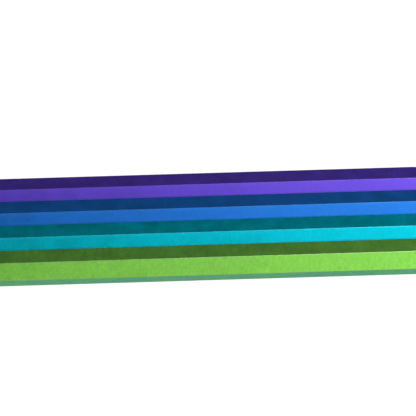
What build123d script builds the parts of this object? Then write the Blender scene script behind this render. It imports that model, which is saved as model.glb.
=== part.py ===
from build123d import *
import os
from math import cos, radians, sin, sqrt, tan

# Four hexagonal double pointed knitting needles lying side by side on a flat surface.
# X runs along the needles, Y across them and Z up. The origin is under the middle of the set,
# on the surface that the needles rest on. Millimetres.

NEEDLE_LENGTH = 200.0
ACROSS_FLATS = 4.5  # girth of the bar equals that of a 5.0 mm round needle
CORNER_RADIUS = 0.1  # rounding of the six long ridges
SIDE_GAP = 0.18  # air between the ridges of two neighbouring needles

TIP_HALF_ANGLE = 9.0  # degrees, of the turned cone
NOSE_RADIUS = 0.65  # rounded point
SHOULDER_ARC_RADIUS = 25.0  # turned sweep from the bar into the cone
TURNING_CLEARANCE = 0.05  # how far the turned outline stands outside the ridges between the tips

# Farthest needle first, in steps of one pitch towards -Y.
NEEDLES = ["needle_purple", "needle_blue", "needle_turquoise", "needle_green"]

side = ACROSS_FLATS / sqrt(3.0)
ridge_radius = side - (2.0 / sqrt(3.0) - 1.0) * CORNER_RADIUS  # axis to the rounded ridge
pitch = 2.0 * ridge_radius + SIDE_GAP
rest_height = ACROSS_FLATS / 2.0  # axis height of a needle that lies on one flat


def hexagonal_bar():
    """The drawn bar, flats up and down, its long ridges rounded, centred on the X axis."""
    outline = Plane.YZ * RegularPolygon(side, 6)
    rounded = fillet(outline.vertices(), CORNER_RADIUS)
    return extrude(rounded, NEEDLE_LENGTH / 2.0, both=True)


def turned_envelope():
    """The solid of revolution that the lathe leaves: a straight middle and a pointed cone at each end."""
    half = NEEDLE_LENGTH / 2.0
    angle = radians(TIP_HALF_ANGLE)
    straight_radius = ridge_radius + TURNING_CLEARANCE
    nose_centre = half - NOSE_RADIUS
    cone_end = (nose_centre + NOSE_RADIUS * sin(angle), NOSE_RADIUS * cos(angle))
    shoulder = cone_end[0] - (straight_radius - cone_end[1]) / tan(angle)
    arc_reach = SHOULDER_ARC_RADIUS * tan(angle / 2.0)  # from the shoulder to either end of its arc
    arc_start = (shoulder - arc_reach, straight_radius)
    arc_end = (shoulder + arc_reach * cos(angle), straight_radius - arc_reach * sin(angle))
    arc_middle = (
        arc_start[0] + SHOULDER_ARC_RADIUS * sin(angle / 2.0),
        straight_radius - SHOULDER_ARC_RADIUS * (1.0 - cos(angle / 2.0)),
    )
    nose_angle = (angle + radians(90.0)) / 2.0
    nose_middle = (nose_centre + NOSE_RADIUS * sin(nose_angle), NOSE_RADIUS * cos(nose_angle))
    upper = [
        Line((0.0, straight_radius), arc_start),
        ThreePointArc(arc_start, arc_middle, arc_end),
        Line(arc_end, cone_end),
        ThreePointArc(cone_end, nose_middle, (half, 0.0)),
        Line((half, 0.0), (0.0, 0.0)),
        Line((0.0, 0.0), (0.0, straight_radius)),
    ]
    right_half = revolve(make_face(upper), Axis.X)
    return right_half + mirror(right_half, Plane.YZ)


def needle():
    """One needle on the X axis: the hexagonal bar with both ends turned to a point."""
    return hexagonal_bar() & turned_envelope()


os.makedirs("parts", exist_ok=True)
blank = needle()
for place, name in enumerate(NEEDLES):
    across = ((len(NEEDLES) - 1) / 2.0 - place) * pitch
    export_step(Pos(0.0, across, rest_height) * blank, f"parts/{name}.step")
print(f"side {side:.3f}, ridge radius {ridge_radius:.3f}, pitch {pitch:.3f}, volume {blank.volume:.1f}")
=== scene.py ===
"""Finished look of a row of hexagonal double pointed knitting needles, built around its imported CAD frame.

Each needle is a drawn hexagonal bar of dyed, anodised aluminium with rounded ridges, and both its ends are
turned down to a cone with a rounded nose. Everything is in metres, X along the needles and Z up.
"""

import logging
import math
from collections.abc import Callable
from dataclasses import dataclass
from enum import Enum

import bpy
from mathutils import Euler, Matrix, Vector


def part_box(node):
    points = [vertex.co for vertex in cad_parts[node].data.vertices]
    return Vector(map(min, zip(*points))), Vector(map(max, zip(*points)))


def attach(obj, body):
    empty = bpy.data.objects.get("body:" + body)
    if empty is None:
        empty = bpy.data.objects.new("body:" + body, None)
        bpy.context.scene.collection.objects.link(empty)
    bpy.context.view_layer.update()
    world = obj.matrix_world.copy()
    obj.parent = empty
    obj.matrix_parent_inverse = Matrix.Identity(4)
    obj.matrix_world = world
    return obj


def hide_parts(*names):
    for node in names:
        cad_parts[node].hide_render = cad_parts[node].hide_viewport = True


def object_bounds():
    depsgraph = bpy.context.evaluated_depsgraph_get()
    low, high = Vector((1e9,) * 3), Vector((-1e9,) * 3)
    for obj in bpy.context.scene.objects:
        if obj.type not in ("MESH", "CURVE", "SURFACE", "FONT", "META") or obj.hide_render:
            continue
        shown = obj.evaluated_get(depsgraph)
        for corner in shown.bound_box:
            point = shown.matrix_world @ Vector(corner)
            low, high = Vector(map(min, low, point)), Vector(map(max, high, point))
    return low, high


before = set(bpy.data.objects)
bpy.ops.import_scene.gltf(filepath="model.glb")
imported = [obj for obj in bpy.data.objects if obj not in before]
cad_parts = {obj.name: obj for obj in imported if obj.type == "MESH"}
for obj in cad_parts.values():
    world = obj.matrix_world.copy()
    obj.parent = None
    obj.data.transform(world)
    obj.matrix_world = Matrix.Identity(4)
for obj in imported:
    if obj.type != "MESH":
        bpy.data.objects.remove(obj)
CAD_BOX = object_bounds()
LOG = logging.getLogger("needles")

Colour = tuple[float, float, float]

FLATS = 6  # sides of the bar
FACING = 0.99  # cosine from which a normal counts as pointing along an axis
NOISE_RANGE = (0.3, 0.7)  # where nearly all values of a noise texture lie
NOISE_SUM_RANGE = (0.7, 1.3)  # where nearly all sums of two such values lie


class Dye(Enum):
    """The colours that the needles are anodised in, farthest needle first."""

    PURPLE = "purple"
    BLUE = "blue"
    TURQUOISE = "turquoise"
    GREEN = "green"

    @property
    def node(self) -> str:
        """Name of the CAD node, and of the body, that has this colour."""
        return f"needle_{self.value}"

    @property
    def slot(self) -> str:
        """Name of the record's material slot for this colour."""
        return f"{self.value}_anodised"


class End(Enum):
    """The two ends of a needle, as the sign of their place along X."""

    LEFT = -1.0
    RIGHT = 1.0


class Element(Enum):
    """What is selected in edit mode, by Blender's name of the select mode."""

    EDGES = "EDGE"
    FACES = "FACE"


class Layer(Enum):
    """Where a pattern lies on the third axis of its noise, so that no two patterns repeat each other."""

    FINE_MARKS = 0.0
    COARSE_MARKS = 3.0
    DRAW_LINES = 7.0
    RINGS = 11.0


class MixSocket(Enum):
    """Places of the colour sockets on a Mix node, which has sockets of other types before them."""

    FIRST = 6
    SECOND = 7
    RESULT = 2


# ---------------------------------------------------------------------------------------------------------
# Helpers for edit mode and node trees
# ---------------------------------------------------------------------------------------------------------


def deselect_all() -> None:
    """Leave edit mode if it is on, and deselect every object."""
    if bpy.context.mode != "OBJECT":
        bpy.ops.object.mode_set(mode="OBJECT")
    bpy.ops.object.select_all(action="DESELECT")


def make_active(piece: bpy.types.Object) -> None:
    """Select one object alone and make it the active one.

    Args:
        piece: The object to work on next.
    """
    deselect_all()
    piece.select_set(True)
    bpy.context.view_layer.objects.active = piece


def apply_place(piece: bpy.types.Object) -> None:
    """Move an object's place, turn and scale into its mesh.

    Args:
        piece: The object, which ends at the origin, unturned and unscaled.
    """
    make_active(piece)
    bpy.ops.object.transform_apply(location=True, rotation=True, scale=True)


def select_elements(piece: bpy.types.Object, kind: Element,
                    wanted: Callable[[bpy.types.bpy_struct], bool]) -> int:
    """Select the edges or faces of a mesh that pass a test, and nothing else, and enter edit mode.

    Args:
        piece: The mesh object.
        kind: Whether edges or faces are selected.
        wanted: Test of one edge or face.

    Returns:
        How many of them are selected.
    """
    make_active(piece)
    bpy.ops.object.mode_set(mode="EDIT")
    bpy.ops.mesh.select_mode(type=kind.value)
    bpy.ops.mesh.select_all(action="DESELECT")
    bpy.ops.object.mode_set(mode="OBJECT")
    elements = piece.data.edges if kind is Element.EDGES else piece.data.polygons
    for element in elements:
        element.select = wanted(element)
    count = sum(element.select for element in elements)
    bpy.ops.object.mode_set(mode="EDIT")
    return count


def select_edges(piece: bpy.types.Object, wanted: Callable[[Vector, Vector], bool]) -> int:
    """Select the edges of a mesh whose two ends pass a test.

    Args:
        piece: The mesh object, which is left in edit mode.
        wanted: Test of the two end points of an edge.

    Returns:
        How many edges are selected.
    """

    def passes(edge: bpy.types.MeshEdge) -> bool:
        """Test the two end points of one edge."""
        first, second = (piece.data.vertices[end].co for end in edge.vertices)
        return wanted(first, second)

    return select_elements(piece, Element.EDGES, passes)


def select_faces(piece: bpy.types.Object, wanted: Callable[[Vector, Vector], bool]) -> int:
    """Select the faces of a mesh whose centre and normal pass a test.

    Args:
        piece: The mesh object, which is left in edit mode.
        wanted: Test of the centre and the normal of a face.

    Returns:
        How many faces are selected.
    """
    return select_elements(piece, Element.FACES, lambda face: wanted(face.center, face.normal))


def apply_modifiers(piece: bpy.types.Object) -> None:
    """Apply every modifier of an object, first to last.

    Args:
        piece: The mesh object.
    """
    make_active(piece)
    for modifier in list(piece.modifiers):
        bpy.ops.object.modifier_apply(modifier=modifier.name)


@dataclass
class NodeTable:
    """A node tree that is written from left to right.

    Attributes:
        tree: The node tree of a material or of the world.
    """

    tree: bpy.types.NodeTree

    def node(self, kind: str, **settings: object) -> bpy.types.Node:
        """Add a node.

        Args:
            kind: Blender's type name of the node.
            **settings: Properties of the node, such as its operation.

        Returns:
            The new node.
        """
        made = self.tree.nodes.new(kind)
        for name, value in settings.items():
            setattr(made, name, value)
        return made

    def feed(self, target: bpy.types.NodeSocket, value: object) -> None:
        """Give an input its value: a link from another socket, or a constant.

        Args:
            target: The input socket.
            value: An output socket, a number or a tuple.
        """
        if isinstance(value, bpy.types.NodeSocket):
            self.tree.links.new(value, target)
        else:
            target.default_value = value

    def math(self, operation: str, *values: object, clamp: bool = False) -> bpy.types.NodeSocket:
        """Add a Math node.

        Args:
            operation: Blender's name of the operation.
            *values: Its inputs, sockets or numbers.
            clamp: Whether the result is held between 0 and 1.

        Returns:
            The result's socket.
        """
        made = self.node("ShaderNodeMath", operation=operation, use_clamp=clamp)
        for target, value in zip(made.inputs, values):
            self.feed(target, value)
        return made.outputs[0]

    def ramp(self, value: object, low: float, high: float, to_low: float = 0.0,
             to_high: float = 1.0, smooth: bool = True) -> bpy.types.NodeSocket:
        """Add a Map Range node.

        Args:
            value: The socket or number to map.
            low: The value that becomes to_low.
            high: The value that becomes to_high.
            to_low: Lower end of the result.
            to_high: Upper end of the result.
            smooth: Whether the step between them is a smooth one.

        Returns:
            The result's socket.
        """
        kind = "SMOOTHSTEP" if smooth else "LINEAR"
        made = self.node("ShaderNodeMapRange", interpolation_type=kind, clamp=True)
        for target, given in zip(made.inputs, (value, low, high, to_low, to_high)):
            self.feed(target, given)
        return made.outputs[0]

    def noise(self, place: bpy.types.NodeSocket, scale: float, detail: float = 2.0,
              roughness: float = 0.5) -> bpy.types.NodeSocket:
        """Add a Noise texture.

        Args:
            place: The socket that says where on the surface the noise is read.
            scale: Blobs per unit of place.
            detail: Number of finer octaves.
            roughness: How strong the finer octaves are.

        Returns:
            The socket of the noise value, which is about 0.5 on the average.
        """
        made = self.node("ShaderNodeTexNoise", noise_dimensions="3D")
        self.feed(made.inputs["Vector"], place)
        self.feed(made.inputs["Scale"], scale)
        self.feed(made.inputs["Detail"], detail)
        self.feed(made.inputs["Roughness"], roughness)
        return made.outputs[0]

    def vector(self, x: object, y: object, z: object) -> bpy.types.NodeSocket:
        """Join three values to a vector.

        Args:
            x: First value, a socket or number.
            y: Second value.
            z: Third value.

        Returns:
            The vector's socket.
        """
        made = self.node("ShaderNodeCombineXYZ")
        for target, value in zip(made.inputs, (x, y, z)):
            self.feed(target, value)
        return made.outputs[0]

    def blend(self, share: object, first: object, second: object,
              kind: str = "MIX") -> bpy.types.NodeSocket:
        """Mix two colours.

        Args:
            share: How much of the second colour there is, a socket or number.
            first: First colour, a socket or an RGBA tuple.
            second: Second colour.
            kind: Blender's name of the way they mix.

        Returns:
            The mixed colour's socket.
        """
        made = self.node("ShaderNodeMix", data_type="RGBA", blend_type=kind)
        self.feed(made.inputs[0], share)
        self.feed(made.inputs[MixSocket.FIRST.value], first)
        self.feed(made.inputs[MixSocket.SECOND.value], second)
        return made.outputs[MixSocket.RESULT.value]

    def swing(self, value: object, reach: float, middle: float = 0.0,
              smooth: bool = False) -> bpy.types.NodeSocket:
        """Turn a noise value into a change to both sides of a middle value.

        Args:
            value: The noise value's socket.
            reach: The largest change.
            middle: The value that is changed.
            smooth: Whether the middle of the range is passed faster than its ends.

        Returns:
            The result's socket.
        """
        return self.ramp(value, *NOISE_RANGE, middle - reach, middle + reach, smooth=smooth)


# ---------------------------------------------------------------------------------------------------------
# Finishes
# ---------------------------------------------------------------------------------------------------------


@dataclass(frozen=True)
class BarMarks:
    """Fine marks of drawing, sanding, etching and turning, of one kind on every needle.

    Attributes:
        fine_count: Fine marks across the bar, per metre along it.
        fine_lean: How far along the bar such a mark leans, in metres per radian round it.
        coarse_count: Coarse marks across the bar, per metre along it.
        coarse_lean: How far along the bar a coarse mark leans.
        coarse_share: Share of the coarse marks in the height of the cross marks.
        mark_breaks: How often a cross mark breaks off, per radian round the bar.
        line_count: Draw lines, per radian round the bar.
        line_breaks: How often a draw line breaks off, per metre along the bar.
        line_height: Height of the draw lines beside the cross marks.
        ring_count: Lathe rings on a point, per metre along it.
        grain_count: Grains of the etched film per metre.
        grain_height: Height of the grain beside the cross marks.
        speckle_count: Specks of paler and deeper dye per metre.
        cloud_count: Clouds of paler and deeper dye per metre.
        patch_count: Patches of smoother and rougher film per metre.
        smear: Strength of the finer octaves in the marks' noise.
        bump_strength: Strength of the relief.
        bump_depth: Depth of the relief, in metres.
    """

    fine_count: float = 3600.0
    fine_lean: float = 0.0008
    coarse_count: float = 1700.0
    coarse_lean: float = -0.0005
    coarse_share: float = 0.4
    mark_breaks: float = 2.2
    line_count: float = 26.0
    line_breaks: float = 45.0
    line_height: float = 0.5
    ring_count: float = 7000.0
    grain_count: float = 9000.0
    grain_height: float = 0.35
    speckle_count: float = 3200.0
    cloud_count: float = 160.0
    patch_count: float = 420.0
    smear: float = 0.6
    bump_strength: float = 0.6
    bump_depth: float = 1.2e-5


@dataclass(frozen=True)
class AnodisedFinish:
    """Dyed and sealed oxide on aluminium, over the fine marks of drawing and cross-sanding the bar.

    Attributes:
        dye: Which colour it is.
        face: Colour of a flat seen square on, linear RGB.
        glancing: Tint of the reflection at a glancing angle, linear RGB.
        roughness: Mean roughness of the satin surface.
        bloom: Strength of the milky blue veil that the sealed oxide shows at a glancing angle.
        wear_and_painted_highlight: Pale tone added on the ridges, linear: partly bare metal that shows
            through worn film, partly a painted highlight.
        cross_marks: Strength of the sanding marks across the bar, 0 to 1.
        seed: Offset that gives each needle marks of its own, in metres.
        marks: Sizes of the fine marks.
        bloom_colour: Colour of the veil, linear RGB.
        bloom_roughness: How widely the veil spreads.
        turned_span: Radii where the turned point begins and is complete, as shares of the width across flats.
        ridge_span: Radii where a ridge begins and is complete, as shares of the ridge's own radius.
        ridge_painted_shade: Share of the flat's colour that is kept on a ridge; this darkening is painted
            shade that holds down the lamps' highlight on the rounded ridges.
        ridge_polish: How much smoother a ridge is than a flat.
        streak_depth: Change of colour by the strongest cross marks.
        speckle_share: Share of that change which the specks have.
        line_depth: Change of colour by the draw lines.
        cloud_depth: Change of colour by the clouds.
        patch_depth: Change of roughness by the patches.
        mark_depth: Change of roughness by the cross marks and draw lines together.
    """

    dye: Dye
    face: Colour
    glancing: Colour
    roughness: float
    bloom: float
    wear_and_painted_highlight: float
    cross_marks: float
    seed: float
    marks: BarMarks = BarMarks()
    bloom_colour: Colour = (0.12, 0.45, 1.0)
    bloom_roughness: float = 0.35
    turned_span: tuple[float, float] = (0.5, 0.48)
    ridge_span: tuple[float, float] = (0.989, 0.996)
    # Darkening of the ridges: painted shade that holds down the lamps' highlight there.
    ridge_painted_shade: float = 0.62
    ridge_polish: float = 0.05
    streak_depth: float = 0.14
    speckle_share: float = 0.4
    line_depth: float = 0.03
    cloud_depth: float = 0.02
    patch_depth: float = 0.03
    mark_depth: float = 0.035

    def material(self, axis: Vector, across_flats: float, ridge_radius: float) -> bpy.types.Material:
        """Make the material for a needle that lies along X.

        Args:
            axis: A point on the needle's own axis.
            across_flats: Distance between two opposite flats of the bar.
            ridge_radius: Distance from the axis to a rounded ridge.

        Returns:
            The new material.
        """
        made = bpy.data.materials.new(self.dye.slot)
        made.use_nodes = True
        made.node_tree.nodes.clear()
        table = NodeTable(made.node_tree)
        along, radius, around, place = self._places(table, axis)
        turned = table.ramp(radius, *(share * across_flats for share in self.turned_span))
        ridge = table.ramp(radius, *(share * ridge_radius for share in self.ridge_span))
        cross = self._turning_marks(table, along, self._cross_marks(table, along, around), turned)
        draw = self._draw_lines(table, along, around)
        shader = table.node("ShaderNodeBsdfPrincipled")
        shader.inputs["Metallic"].default_value = 1.0
        shader.inputs["Specular Tint"].default_value = (*self.glancing, 1.0)
        shader.inputs["Sheen Weight"].default_value = self.bloom
        shader.inputs["Sheen Roughness"].default_value = self.bloom_roughness
        shader.inputs["Sheen Tint"].default_value = (*self.bloom_colour, 1.0)
        table.feed(shader.inputs["Base Color"], self._colour(table, place, cross, draw, ridge))
        table.feed(shader.inputs["Roughness"], self._roughness(table, place, cross, draw, ridge))
        table.feed(shader.inputs["Normal"], self._relief(table, place, cross, draw))
        output = table.node("ShaderNodeOutputMaterial")
        table.feed(output.inputs["Surface"], shader.outputs[0])
        made.diffuse_color = (*self.face, 1.0)
        return made

    def _places(self, table: NodeTable, axis: Vector) -> tuple[bpy.types.NodeSocket, ...]:
        """Coordinates of the surface, counted from the needle's axis.

        Args:
            table: The material's node table.
            axis: A point on the needle's own axis.

        Returns:
            Sockets of the place along the needle, the distance from its axis, the turn around it in radians,
            and the whole place as a vector.
        """
        coordinates = table.node("ShaderNodeTexCoord")
        centred = table.node("ShaderNodeMapping", vector_type="POINT")
        table.feed(centred.inputs["Vector"], coordinates.outputs["Object"])
        centred.inputs["Location"].default_value = (self.seed, -axis.y, -axis.z)
        parts = table.node("ShaderNodeSeparateXYZ")
        table.feed(parts.inputs[0], centred.outputs[0])
        along, across, up = parts.outputs
        square = table.math("ADD", table.math("MULTIPLY", across, across), table.math("MULTIPLY", up, up))
        radius = table.math("SQRT", square)
        around = table.math("ARCTAN2", up, across)
        return along, radius, around, centred.outputs[0]

    def _cross_marks(self, table: NodeTable, along: bpy.types.NodeSocket,
                     around: bpy.types.NodeSocket) -> bpy.types.NodeSocket:
        """Fine marks that run across the bar, slightly slanting, coarse ones among fine ones.

        Args:
            table: The material's node table.
            along: Place along the needle.
            around: Turn around the needle.

        Returns:
            Socket of the marks' height, 0 to 1.
        """
        marks = self.marks
        turn = table.math("MULTIPLY", around, marks.mark_breaks)
        fine_along = table.math("MULTIPLY_ADD", around, marks.fine_lean, along)
        fine_step = table.math("MULTIPLY", fine_along, marks.fine_count)
        fine = table.noise(table.vector(fine_step, turn, Layer.FINE_MARKS.value), 1.0, 2.0, marks.smear)
        coarse_along = table.math("MULTIPLY_ADD", around, marks.coarse_lean, along)
        coarse_step = table.math("MULTIPLY", coarse_along, marks.coarse_count)
        coarse = table.noise(table.vector(coarse_step, turn, Layer.COARSE_MARKS.value), 1.0, 2.0)
        fine_part = table.math("MULTIPLY", fine, 1.0 - marks.coarse_share)
        return table.math("MULTIPLY_ADD", coarse, marks.coarse_share, fine_part)

    def _turning_marks(self, table: NodeTable, along: bpy.types.NodeSocket, cross: bpy.types.NodeSocket,
                       turned: bpy.types.NodeSocket) -> bpy.types.NodeSocket:
        """Fine rings that the lathe leaves round a point, in place of the marks across the bar.

        Args:
            table: The material's node table.
            along: Place along the needle.
            cross: Height of the cross marks.
            turned: 1 on the turned points, 0 on the flats.

        Returns:
            Socket of the height of the cross marks on the bar and of the rings on its points.
        """
        place = table.vector(table.math("MULTIPLY", along, self.marks.ring_count), 0.0, Layer.RINGS.value)
        rings = table.noise(place, 1.0, 2.0, self.marks.smear)
        added = table.math("MULTIPLY", table.math("SUBTRACT", rings, cross), turned)
        return table.math("ADD", cross, added)

    def _draw_lines(self, table: NodeTable, along: bpy.types.NodeSocket,
                    around: bpy.types.NodeSocket) -> bpy.types.NodeSocket:
        """Faint lines along the bar, left by the drawing die.

        Args:
            table: The material's node table.
            along: Place along the needle.
            around: Turn around the needle.

        Returns:
            Socket of the lines' height, 0 to 1.
        """
        marks = self.marks
        place = table.vector(table.math("MULTIPLY", along, marks.line_breaks),
                             table.math("MULTIPLY", around, marks.line_count), Layer.DRAW_LINES.value)
        return table.noise(place, 1.0, 3.0, marks.smear)

    def _colour(self, table: NodeTable, place: bpy.types.NodeSocket, cross: bpy.types.NodeSocket,
                draw: bpy.types.NodeSocket, ridge: bpy.types.NodeSocket) -> bpy.types.NodeSocket:
        """Colour of the dyed oxide: clouded, speckled and streaked by the marks; on the ridges, painted shade
        and a pale tone that is partly wear and partly painted highlight.

        Args:
            table: The material's node table.
            place: Place from the needle's axis.
            cross: Height of the cross marks.
            draw: Height of the draw lines.
            ridge: 1 on the ridges, 0 on the flats.

        Returns:
            The colour's socket.
        """
        depth = self.streak_depth * self.cross_marks
        specks = table.swing(table.noise(place, self.marks.speckle_count, 1.0), self.speckle_share * depth)
        streaks = table.math("ADD", table.swing(cross, depth), specks)
        lines = table.swing(draw, self.line_depth)
        clouds = table.noise(place, self.marks.cloud_count, 2.0)
        cloud = table.swing(clouds, self.cloud_depth, middle=1.0, smooth=True)
        level = table.math("ADD", table.math("ADD", cloud, lines), streaks)
        dyed = table.blend(1.0, (*self.face, 1.0), table.vector(level, level, level), "MULTIPLY")
        # Ridge colour: the flat's colour darkened, which is painted shade against the lamps' highlight, plus
        # a pale lift that is partly worn dye and partly a painted highlight.
        ridge_wear_and_painted_light = tuple(self.ridge_painted_shade * part + self.wear_and_painted_highlight for part in self.face)
        return table.blend(ridge, dyed, (*ridge_wear_and_painted_light, 1.0))

    def _roughness(self, table: NodeTable, place: bpy.types.NodeSocket, cross: bpy.types.NodeSocket,
                   draw: bpy.types.NodeSocket, ridge: bpy.types.NodeSocket) -> bpy.types.NodeSocket:
        """Roughness: satin, uneven with the marks, and smoother where the ridges are rubbed.

        Args:
            table: The material's node table.
            place: Place from the needle's axis.
            cross: Height of the cross marks.
            draw: Height of the draw lines.
            ridge: 1 on the ridges, 0 on the flats.

        Returns:
            The roughness socket.
        """
        patches = table.swing(table.noise(place, self.marks.patch_count, 3.0), self.patch_depth, smooth=True)
        both = table.math("ADD", cross, draw)
        marks = table.ramp(both, *NOISE_SUM_RANGE, -self.mark_depth, self.mark_depth, smooth=False)
        satin = table.math("ADD", table.math("ADD", self.roughness, patches), marks)
        return table.math("MULTIPLY_ADD", ridge, -self.ridge_polish, satin, clamp=True)

    def _relief(self, table: NodeTable, place: bpy.types.NodeSocket, cross: bpy.types.NodeSocket,
                draw: bpy.types.NodeSocket) -> bpy.types.NodeSocket:
        """Bump of the marks, the draw lines and the etched grain.

        Args:
            table: The material's node table.
            place: Place from the needle's axis.
            cross: Height of the cross marks.
            draw: Height of the draw lines.

        Returns:
            The normal's socket.
        """
        marks = self.marks
        grain = table.noise(place, marks.grain_count, 2.0)
        lines = table.math("MULTIPLY", draw, marks.line_height)
        height = table.math("MULTIPLY_ADD", cross, self.cross_marks, lines)
        height = table.math("MULTIPLY_ADD", grain, marks.grain_height, height)
        bump = table.node("ShaderNodeBump")
        bump.inputs["Strength"].default_value = marks.bump_strength
        bump.inputs["Distance"].default_value = marks.bump_depth
        table.feed(bump.inputs["Height"], height)
        return bump.outputs[0]


@dataclass(frozen=True)
class BoardFinish:
    """Matt board that the needles lie on, lit from below as a light table is, which makes it look white.

    Attributes:
        tone: Share of the light from above that the board sends back.
        glow: Radiance of the light that comes through it, which is most of its brightness.
        roughness: Its matt surface.
        fibre_count: Fibres per metre.
        fibre_range: Range of the fibre noise that is mapped to the grey.
        fibre_depth: Change of the grey by the fibres.
    """

    tone: float = 0.12
    glow: float = 0.93
    roughness: float = 0.9
    fibre_count: float = 900.0
    fibre_range: tuple[float, float] = (0.2, 0.8)
    fibre_depth: float = 0.01

    def material(self) -> bpy.types.Material:
        """Make the board's material.

        Returns:
            The new material.
        """
        made = bpy.data.materials.new("pale_board")
        made.use_nodes = True
        made.node_tree.nodes.clear()
        table = NodeTable(made.node_tree)
        coordinates = table.node("ShaderNodeTexCoord")
        fibres = table.noise(coordinates.outputs["Object"], self.fibre_count, 4.0)
        pale, dark = self.tone + self.fibre_depth, self.tone - self.fibre_depth
        tone = table.ramp(fibres, *self.fibre_range, dark, pale, smooth=False)
        shader = table.node("ShaderNodeBsdfPrincipled")
        shader.inputs["Roughness"].default_value = self.roughness
        shader.inputs["Emission Color"].default_value = (1.0, 1.0, 1.0, 1.0)
        shader.inputs["Emission Strength"].default_value = self.glow
        table.feed(shader.inputs["Base Color"], table.vector(tone, tone, tone))
        output = table.node("ShaderNodeOutputMaterial")
        table.feed(output.inputs["Surface"], shader.outputs[0])
        return made


# Per needle, the ridge settings paint shade that darkens the ridges and add a pale ridge tone that is partly
# worn dye and partly painted highlight.
FINISHES = {
    Dye.PURPLE: AnodisedFinish(
        dye=Dye.PURPLE, face=(0.121, 0.066, 0.525), glancing=(0.6, 0.6, 1.0),
        roughness=0.56, bloom=0.0, wear_and_painted_highlight=0.022, cross_marks=0.5, seed=0.31,
    ),
    Dye.BLUE: AnodisedFinish(
        dye=Dye.BLUE, face=(0.02, 0.165, 0.555), glancing=(0.5, 0.8, 1.0),
        roughness=0.56, bloom=0.0, wear_and_painted_highlight=0.022, cross_marks=0.5, seed=0.47,
    ),
    Dye.TURQUOISE: AnodisedFinish(
        dye=Dye.TURQUOISE, face=(0.003, 0.46, 0.582), glancing=(0.3, 0.9, 1.0),
        roughness=0.53, bloom=0.0, wear_and_painted_highlight=0.022, cross_marks=0.6, seed=0.73,
    ),
    Dye.GREEN: AnodisedFinish(
        dye=Dye.GREEN, face=(0.172, 0.445, 0.063), glancing=(0.08, 0.0, 1.0),
        roughness=0.57, bloom=0.195, wear_and_painted_highlight=0.09, cross_marks=0.9, seed=0.91,
    ),
}


# ---------------------------------------------------------------------------------------------------------
# Needles
# ---------------------------------------------------------------------------------------------------------


@dataclass(frozen=True)
class TurnedPoint:
    """The shape that the lathe gives to an end: a swept shoulder, a cone and a rounded nose.

    Attributes:
        half_angle: Slope of the cone, in radians.
        nose_radius: Radius of the rounded nose.
        shoulder_radius: Radius of the sweep from the bar into the cone.
        clearance: How far the outline stands outside the ridges between the two points.
        shoulder_rings: Steps of the sweep.
        nose_rings: Steps of the nose.
    """

    half_angle: float = math.radians(9.0)
    nose_radius: float = 0.65e-3
    shoulder_radius: float = 25.0e-3
    clearance: float = 0.05e-3
    shoulder_rings: int = 8
    nose_rings: int = 14

    def outline(self, half_length: float, ridge_radius: float) -> list[tuple[float, float]]:
        """Outline of one end.

        Args:
            half_length: Distance from the middle of the needle to the tip of its nose.
            ridge_radius: Distance from the axis to a rounded ridge.

        Returns:
            Distance from the middle and radius of each ring, from the start of the shoulder to the last ring
            before the tip.
        """
        straight = ridge_radius + self.clearance
        nose_centre = half_length - self.nose_radius
        cone_end = nose_centre + self.nose_radius * math.sin(self.half_angle)
        cone_end_radius = self.nose_radius * math.cos(self.half_angle)
        corner = cone_end - (straight - cone_end_radius) / math.tan(self.half_angle)
        start = corner - self.shoulder_radius * math.tan(self.half_angle / 2.0)
        rings = []
        for step in range(self.shoulder_rings + 1):
            turn = self.half_angle * step / self.shoulder_rings
            sweep = self.shoulder_radius * (1.0 - math.cos(turn))
            rings.append((start + self.shoulder_radius * math.sin(turn), straight - sweep))
        for step in range(self.nose_rings):
            turn = self.half_angle + (math.pi / 2.0 - self.half_angle) * step / self.nose_rings
            rings.append((nose_centre + self.nose_radius * math.sin(turn), self.nose_radius * math.cos(turn)))
        return rings


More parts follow.
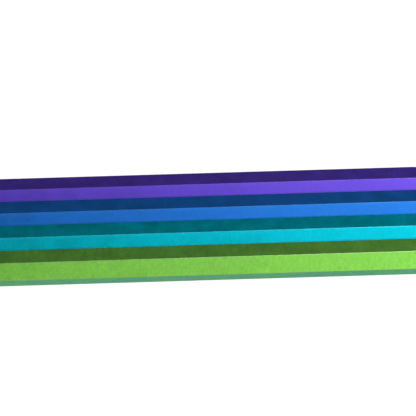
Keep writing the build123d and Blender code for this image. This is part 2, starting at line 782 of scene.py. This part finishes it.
@dataclass
class NeedleBlank:
    """One needle on the X axis, undyed: hexagonal bar, rounded ridges and two turned points.

    Attributes:
        length: From tip to tip.
        across_flats: Distance between two opposite flats.
        ridge_radius: Distance from the axis to a rounded ridge.
        point: Shape of both ends.
        ridge_steps: Facets that round a ridge.
        turned_steps: Facets around the turned outline.
        spare: How much longer than the needle the bar is at each end before its ends are turned.
        weld: Distance within which doubled points are merged.
        smooth_angle: Largest angle between two faces that are shaded as one surface, in radians.
        flat_weight: How strongly a large face keeps the shading of its neighbours flat.
    """

    length: float
    across_flats: float
    ridge_radius: float
    point: TurnedPoint
    ridge_steps: int = 12
    turned_steps: int = 144
    spare: float = 1.0e-3
    weld: float = 1.0e-6
    smooth_angle: float = math.radians(6.5)
    flat_weight: int = 80

    @property
    def side(self) -> float:
        """Width of a flat before its ridges are rounded, which is also the radius to a sharp ridge."""
        return self.across_flats / math.sqrt(3.0)

    @property
    def rounding(self) -> float:
        """Radius of the rounded ridges."""
        return (self.side - self.ridge_radius) / (2.0 / math.sqrt(3.0) - 1.0)

    def make(self) -> bpy.types.Object:
        """Build the blank: the bar, cut by the turned outline.

        Returns:
            The mesh object, at the origin.
        """
        bar = self._bar()
        turned = self._turned()
        cut = bar.modifiers.new("turning", "BOOLEAN")
        cut.operation = "INTERSECT"
        cut.solver = "EXACT"
        cut.object = turned
        apply_modifiers(bar)
        bpy.data.objects.remove(turned)
        self._smooth(bar)
        return bar

    def _bar(self) -> bpy.types.Object:
        """Hexagonal bar with a flat on top and rounded ridges.

        Returns:
            The mesh object.
        """
        deselect_all()
        depth = self.length + 2.0 * self.spare
        bpy.ops.mesh.primitive_cylinder_add(vertices=FLATS, radius=self.side, depth=depth,
                                            rotation=(0.0, math.pi / 2.0, 0.0))
        bar = bpy.context.active_object
        bar.name = "needle_blank"
        apply_place(bar)
        reach = 0.5 * self.length
        ridges = select_edges(bar, lambda a, b: abs(a.x - b.x) > reach)
        assert ridges == FLATS, f"the bar has {FLATS} ridges, and {ridges} were found"
        setback = self.rounding * math.tan(math.pi / FLATS)
        bpy.ops.mesh.bevel(offset=setback, segments=self.ridge_steps, profile=0.5, affect="EDGES")
        bpy.ops.object.mode_set(mode="OBJECT")
        return bar

    def _turned(self) -> bpy.types.Object:
        """Round solid with a point at each end, which the bar is cut to.

        Returns:
            The mesh object.
        """
        rings = self.point.outline(0.5 * self.length, self.ridge_radius)
        start, straight = rings[0]
        deselect_all()
        bpy.ops.mesh.primitive_cylinder_add(vertices=self.turned_steps, radius=straight, depth=2.0 * start,
                                            rotation=(0.0, math.pi / 2.0, 0.0))
        turned = bpy.context.active_object
        turned.name = "turned_outline"
        apply_place(turned)
        for end in End:
            self._draw_out(turned, end, rings)
        return turned

    def _draw_out(self, turned: bpy.types.Object, end: End, rings: list[tuple[float, float]]) -> None:
        """Extrude one end cap ring by ring along the outline, and close it at the tip.

        Args:
            turned: The round solid.
            end: Which end to draw out.
            rings: Distance from the middle and radius of each ring, the cap's own first.
        """
        side = end.value
        caps = select_faces(turned, lambda centre, normal: normal.x * side > FACING)
        assert caps == 1, f"the turned solid has one cap at its {end.name} end, and {caps} were found"
        place, radius = rings[0]
        for next_place, next_radius in rings[1:]:
            step = (side * (next_place - place), 0.0, 0.0)
            bpy.ops.mesh.extrude_region_move(TRANSFORM_OT_translate={"value": step})
            shrink = next_radius / radius
            middle = (side * next_place, 0.0, 0.0)
            bpy.ops.transform.resize(value=(1.0, shrink, shrink), center_override=middle)
            place, radius = next_place, next_radius
        step = (side * (0.5 * self.length - place), 0.0, 0.0)
        bpy.ops.mesh.extrude_region_move(TRANSFORM_OT_translate={"value": step})
        bpy.ops.mesh.merge(type="CENTER")
        bpy.ops.object.mode_set(mode="OBJECT")

    def _smooth(self, bar: bpy.types.Object) -> None:
        """Merge doubles, turn normals outward, and shade ridges and points smooth beside flat facets.

        Args:
            bar: The finished blank.
        """
        make_active(bar)
        bpy.ops.object.mode_set(mode="EDIT")
        bpy.ops.mesh.select_all(action="SELECT")
        bpy.ops.mesh.remove_doubles(threshold=self.weld)
        bpy.ops.mesh.normals_make_consistent(inside=False)
        bpy.ops.object.mode_set(mode="OBJECT")
        bpy.ops.object.shade_smooth_by_angle(angle=self.smooth_angle)
        weighted = bar.modifiers.new("flat_facets", "WEIGHTED_NORMAL")
        weighted.mode = "FACE_AREA"
        weighted.weight = self.flat_weight
        weighted.keep_sharp = True
        apply_modifiers(bar)


@dataclass
class Needle:
    """One dyed needle in its place in the row.

    Attributes:
        dye: Its colour, which also names its CAD node, its body and its slot.
        finish: Its anodised finish.
    """

    dye: Dye
    finish: AnodisedFinish

    def axis(self) -> Vector:
        """Middle of the needle, on its axis."""
        low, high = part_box(self.dye.node)
        return (low + high) / 2.0

    def make(self, blank: bpy.types.Object) -> bpy.types.Object:
        """Copy the blank to this needle's place, dye it and put it on its body.

        Args:
            blank: The undyed needle on the X axis.

        Returns:
            The finished piece.
        """
        piece = blank.copy()
        piece.data = blank.data.copy()
        piece.name = f"{self.dye.value}_double_pointed_needle"
        piece.data.name = piece.name
        bpy.context.scene.collection.objects.link(piece)
        piece.location = self.axis()
        apply_place(piece)
        low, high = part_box(self.dye.node)
        size = high - low
        piece.data.materials.clear()
        piece.data.materials.append(self.finish.material(self.axis(), size.z, size.y / 2.0))
        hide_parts(self.dye.node)
        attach(piece, self.dye.node)
        return piece


@dataclass
class NeedleRow:
    """The needles, side by side on the flat.

    Attributes:
        finishes: Finish of each needle.
    """

    finishes: dict[Dye, AnodisedFinish]

    def make(self) -> list[bpy.types.Object]:
        """Build one blank from the frame's sizes and copy it to each place in the row.

        Returns:
            The finished needles, farthest first.
        """
        low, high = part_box(Dye.PURPLE.node)
        size = high - low
        blank = NeedleBlank(size.x, size.z, size.y / 2.0, TurnedPoint()).make()
        needles = [Needle(dye, finish).make(blank) for dye, finish in self.finishes.items()]
        bpy.data.objects.remove(blank)
        return needles


# ---------------------------------------------------------------------------------------------------------
# Studio
# ---------------------------------------------------------------------------------------------------------


@dataclass(frozen=True)
class Softbox:
    """A rectangular soft lamp that hangs over the needles, level with their length, and faces them.

    Attributes:
        name: Its name.
        along: How far it hangs to the right of the target.
        elevation: Its height angle in degrees, from the near side over the top to the far side.
        distance: How far away from the needles it hangs.
        width: Its width, along the needles.
        height: Its height, across them.
        radiance: Brightness of its face, in watts per square metre and steradian.
    """

    name: str
    along: float
    elevation: float
    distance: float
    width: float
    height: float
    radiance: float

    def make(self, target: Vector) -> bpy.types.Object:
        """Hang the lamp.

        Args:
            target: The point between the needles from which its place is counted.

        Returns:
            The lamp.
        """
        lamp = bpy.data.lights.new(self.name, "AREA")
        lamp.shape = "RECTANGLE"
        lamp.size = self.width
        lamp.size_y = self.height
        lamp.energy = self.radiance * self.width * self.height * math.pi
        hung = bpy.data.objects.new(self.name, lamp)
        bpy.context.scene.collection.objects.link(hung)
        turn = Euler((math.radians(90.0 - self.elevation), 0.0, 0.0))
        hung.rotation_euler = turn
        hung.location = target + turn.to_matrix() @ Vector((self.along, 0.0, self.distance))
        hung.visible_camera = False
        return hung


@dataclass(frozen=True)
class Surroundings:
    """What the studio looks like beyond the lamps: pale near the horizon, dim above.

    Attributes:
        horizon: Radiance at the horizon.
        overhead: Radiance high up.
        pale_to: Height angle in degrees where the pale band begins to fade.
        dim_from: Height angle in degrees from which it is dim.
    """

    horizon: float = 0.95
    overhead: float = 0.05
    pale_to: float = 6.0
    dim_from: float = 14.0

    def make(self) -> None:
        """Make the world and give it to the scene."""
        world = bpy.data.worlds.new("studio")
        bpy.context.scene.world = world
        world.use_nodes = True
        world.node_tree.nodes.clear()
        table = NodeTable(world.node_tree)
        coordinates = table.node("ShaderNodeTexCoord")
        parts = table.node("ShaderNodeSeparateXYZ")
        table.feed(parts.inputs[0], coordinates.outputs["Generated"])
        pale_to, dim_from = math.sin(math.radians(self.pale_to)), math.sin(math.radians(self.dim_from))
        glow = table.ramp(parts.outputs[2], pale_to, dim_from, self.horizon, self.overhead)
        backdrop = table.node("ShaderNodeBackground")
        table.feed(backdrop.inputs["Color"], (1.0, 1.0, 1.0, 1.0))
        table.feed(backdrop.inputs["Strength"], glow)
        output = table.node("ShaderNodeOutputWorld")
        table.feed(output.inputs["Surface"], backdrop.outputs[0])


@dataclass(frozen=True)
class CloseUpCamera:
    """A long lens close to the needles, looking down on the row from the near side, right of its middle.

    Attributes:
        lens: Focal length in millimetres.
        sensor: Width of the sensor in millimetres.
        distance: Distance from the target.
        elevation: Height angle of the camera above the target, in radians.
        lift: How far above the target it aims, in radians.
        roll: How far it leans to its right, in radians.
        along: Place of the target along the needles, as a share of half their length.
        near_limit: Nearest distance that it shows.
        far_limit: Farthest distance that it shows.
    """

    lens: float = 120.0
    sensor: float = 36.0
    distance: float = 0.2032
    elevation: float = math.radians(41.60)
    lift: float = math.radians(0.707)
    roll: float = math.radians(1.707)
    along: float = 0.556
    near_limit: float = 0.01
    far_limit: float = 50.0

    def make(self) -> bpy.types.Object:
        """Set up the camera and make it the scene's own.

        Returns:
            The camera.
        """
        low, high = CAD_BOX
        target = Vector((self.along * high[0], (low[1] + high[1]) / 2.0, (low[2] + high[2]) / 2.0))
        away = Vector((0.0, -math.cos(self.elevation), math.sin(self.elevation)))
        lens = bpy.data.cameras.new("close_up_camera")
        lens.lens = self.lens
        lens.sensor_width = self.sensor
        lens.clip_start = self.near_limit
        lens.clip_end = self.far_limit
        camera = bpy.data.objects.new("close_up_camera", lens)
        bpy.context.scene.collection.objects.link(camera)
        aim = Euler((math.pi / 2.0 - self.elevation + self.lift, 0.0, 0.0)).to_matrix()
        lean = Matrix.Rotation(-self.roll, 3, "Z")
        camera.matrix_world = Matrix.Translation(target + self.distance * away) @ (aim @ lean).to_4x4()
        bpy.context.scene.camera = camera
        return camera


@dataclass
class Studio:
    """Pale floor, soft lights, pale horizon and the camera.

    Attributes:
        softboxes: The lamps.
        surroundings: What lies beyond them.
        board: Finish of the floor.
        camera: The camera's set-up.
        floor_size: Width of the floor.
    """

    softboxes: tuple[Softbox, ...] = (
        Softbox("key_softbox", along=0.158, elevation=53.0, distance=0.28, width=0.2, height=0.17,
                radiance=16.8),
        Softbox("fill_softbox", along=-0.32, elevation=50.0, distance=0.2, width=0.2, height=0.12,
                radiance=5.0),
        Softbox("overhead_softbox", along=0.02, elevation=96.0, distance=0.2, width=0.12, height=0.14,
                radiance=0.28),
    )
    surroundings: Surroundings = Surroundings()
    board: BoardFinish = BoardFinish()
    camera: CloseUpCamera = CloseUpCamera()
    floor_size: float = 12.0

    def make(self) -> None:
        """Build everything round the needles that isn't part of them."""
        self.camera.make()
        target = Vector((self.camera.along * CAD_BOX[1][0], 0.0, 0.0))
        for softbox in self.softboxes:
            softbox.make(target)
        self.surroundings.make()
        self._floor()
        bpy.context.scene.view_settings.view_transform = "Standard"

    def _floor(self) -> bpy.types.Object:
        """Lay the pale floor.

        Returns:
            The floor.
        """
        deselect_all()
        bpy.ops.mesh.primitive_plane_add(size=self.floor_size)
        floor = bpy.context.active_object
        floor.name = "pale_floor"
        apply_place(floor)
        floor.data.materials.append(self.board.material())
        return floor


def main() -> None:
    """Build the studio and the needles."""
    logging.basicConfig(level=logging.INFO, format="%(name)s: %(message)s")
    Studio().make()
    for piece in NeedleRow(FINISHES).make():
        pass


if __name__ == "__main__":
    main()
